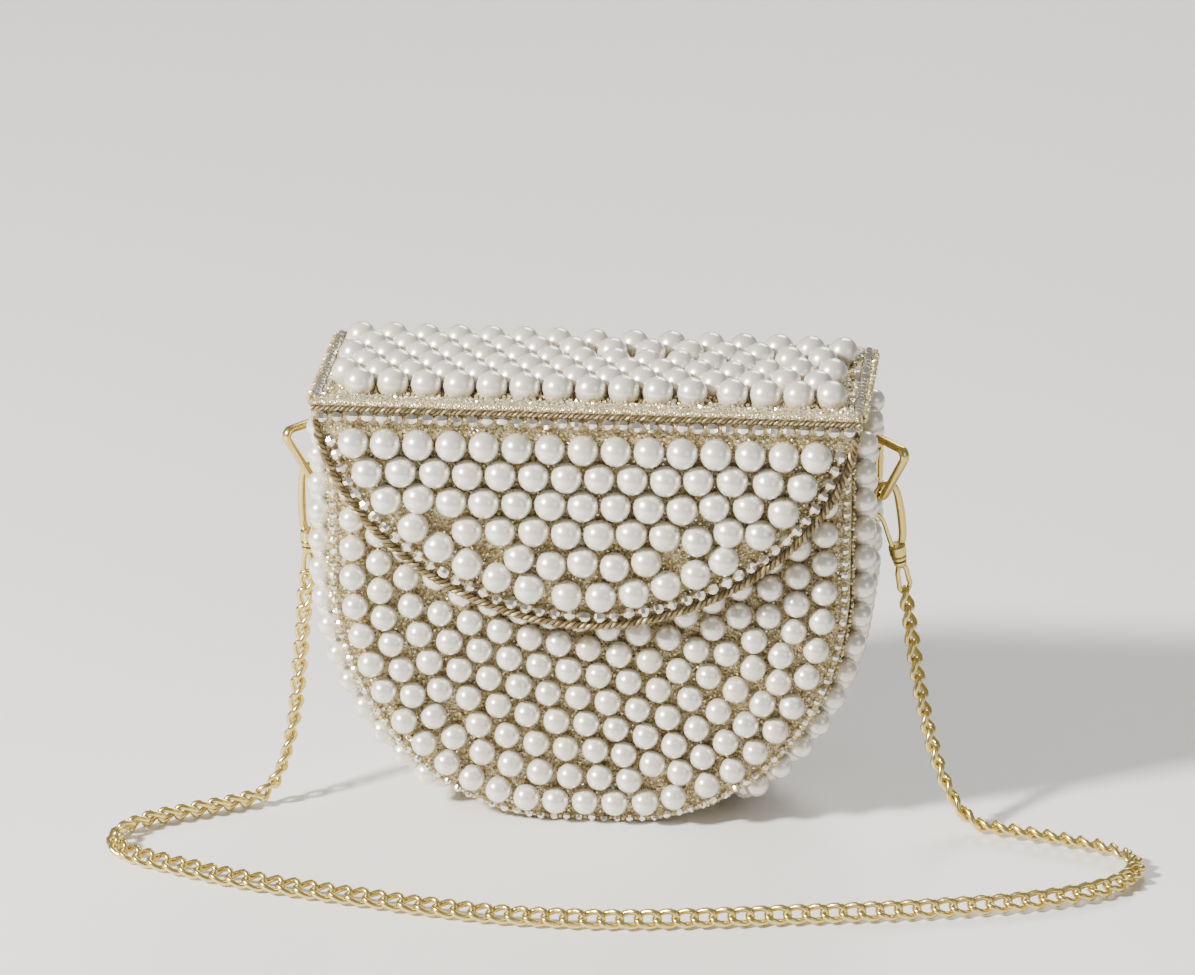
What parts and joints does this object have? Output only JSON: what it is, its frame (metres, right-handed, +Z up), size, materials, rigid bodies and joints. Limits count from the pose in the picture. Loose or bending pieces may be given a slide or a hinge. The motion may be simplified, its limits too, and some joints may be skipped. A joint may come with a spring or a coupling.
{
  "type": "evening bag",
  "caption": "Half-round beaded evening bag with a folded magnetic flap, pearl layers, swinging side rings, spring clasps and a chain strap laid in a loop.",
  "frame": {"origin": "middle of the flat base, on the surface the bag stands on", "axes": "+Z up, +X to the right seen from the front, -Y the front with the flap"},
  "size_m": [0.3404, 0.1603, 0.1586],
  "materials": {
    "pearl": "pearlescent ivory beads sewn on gold mesh",
    "gold_mesh": "glittering gold mesh cloth over board",
    "lining": "cream satin",
    "bending_strip": "gold mesh cloth over a soft core",
    "silver_bead": "small faceted silver-gold beads",
    "antique_cord": "twisted antique-gold metallic cord",
    "gold_metal": "polished pale gold plating",
    "gold_chain": "polished pale gold curb links",
    "snap_steel": "plated steel"
  },
  "bodies": {
    "bag_body": {"front_board": "gold_mesh", "back_board": "gold_mesh", "gusset_board": "gold_mesh", "front_lining": "lining", "back_lining": "lining", "gusset_lining": "lining", "inner_pocket": "lining", "front_beadwork": "pearl", "back_beadwork": "pearl", "gusset_beadwork_left": "pearl", "gusset_beadwork_right": "pearl", "front_edge_beads": "silver_bead", "back_edge_beads": "silver_bead", "back_mouth_beads": "silver_bead", "flap_hinge_strip": "bending_strip", "snap_female": "snap_steel", "snap_female_plate": "snap_steel", "ring_tab_left": "gold_metal", "ring_tab_right": "gold_metal", "chain_left_drop": "gold_chain", "chain_floor_run": "gold_chain", "chain_right_drop": "gold_chain"},
    "flap_top": {"flap_top_board": "gold_mesh", "flap_top_lining": "lining", "flap_top_beadwork": "pearl", "flap_side_beads_left": "silver_bead", "flap_side_beads_right": "silver_bead", "flap_fold_strip": "bending_strip"},
    "flap_front": {"flap_front_board": "gold_mesh", "flap_front_lining": "lining", "flap_front_beadwork": "pearl", "flap_edge_cord": "antique_cord", "flap_edge_beads": "silver_bead", "fold_cord": "antique_cord", "fold_beads": "silver_bead", "snap_male": "snap_steel", "snap_male_plate": "snap_steel"},
    "ring_body_left": {"ring_left": "gold_metal"},
    "clasp_body_left": {"claw_left": "gold_metal", "gate_rivet_left": "gold_metal", "gate_spring_left": "snap_steel"},
    "gate_body_left": {"gate_left": "gold_metal"},
    "eye_body_left": {"swivel_eye_left": "gold_metal"},
    "ring_body_right": {"ring_right": "gold_metal"},
    "clasp_body_right": {"claw_right": "gold_metal", "gate_rivet_right": "gold_metal", "gate_spring_right": "snap_steel"},
    "gate_body_right": {"gate_right": "gold_metal"},
    "eye_body_right": {"swivel_eye_right": "gold_metal"}
  },
  "joints": [
    {"name": "flap_hinge", "type": "hinge", "parent": "bag_body", "child": "flap_top", "pos_m": [0, 0.0287, 0.148], "axis": [-1, 0, 0], "range_deg": [0, 150]},
    {"name": "flap_fold", "type": "hinge", "parent": "flap_top", "child": "flap_front", "pos_m": [0, -0.0399, 0.148], "axis": [-1, 0, 0], "range_deg": [0, 85]},
    {"name": "ring_swing_left", "type": "hinge", "parent": "bag_body", "child": "ring_body_left", "pos_m": [-0.0925, 0, 0.118], "axis": [0, 0, 1], "range_deg": [-20, 15]},
    {"name": "clasp_swing_left", "type": "hinge", "parent": "ring_body_left", "child": "clasp_body_left", "pos_m": [-0.09424, -0.00193, 0.1082], "axis": [0.6691, 0.7431, 0], "range_deg": [0, 50]},
    {"name": "gate_press_left", "type": "hinge", "parent": "clasp_body_left", "child": "gate_body_left", "pos_m": [-0.09646, 0.00007, 0.08701], "axis": [-0.6691, -0.7431, 0], "range_deg": [0, 25], "stiffness_Nm_per_rad": 0.004, "springref_deg": -17.19},
    {"name": "eye_swivel_left", "type": "hinge", "parent": "clasp_body_left", "child": "eye_body_left", "pos_m": [-0.09734, 0.00086, 0.08293], "axis": [0.0518, -0.0467, 0.9976], "range_deg": [-40, 40]},
    {"name": "ring_swing_right", "type": "hinge", "parent": "bag_body", "child": "ring_body_right", "pos_m": [0.0925, 0, 0.118], "axis": [0, 0, 1], "range_deg": [-15, 20]},
    {"name": "clasp_swing_right", "type": "hinge", "parent": "ring_body_right", "child": "clasp_body_right", "pos_m": [0.09424, -0.00193, 0.1082], "axis": [0.6691, -0.7431, 0], "range_deg": [0, 50]},
    {"name": "gate_press_right", "type": "hinge", "parent": "clasp_body_right", "child": "gate_body_right", "pos_m": [0.09916, 0.0025, 0.08785], "axis": [-0.6691, 0.7431, 0], "range_deg": [0, 25], "stiffness_Nm_per_rad": 0.004, "springref_deg": -17.19},
    {"name": "eye_swivel_right", "type": "hinge", "parent": "clasp_body_right", "child": "eye_body_right", "pos_m": [0.10055, 0.00375, 0.08404], "axis": [-0.1798, -0.1619, 0.9703], "range_deg": [-40, 40]}
  ]
}
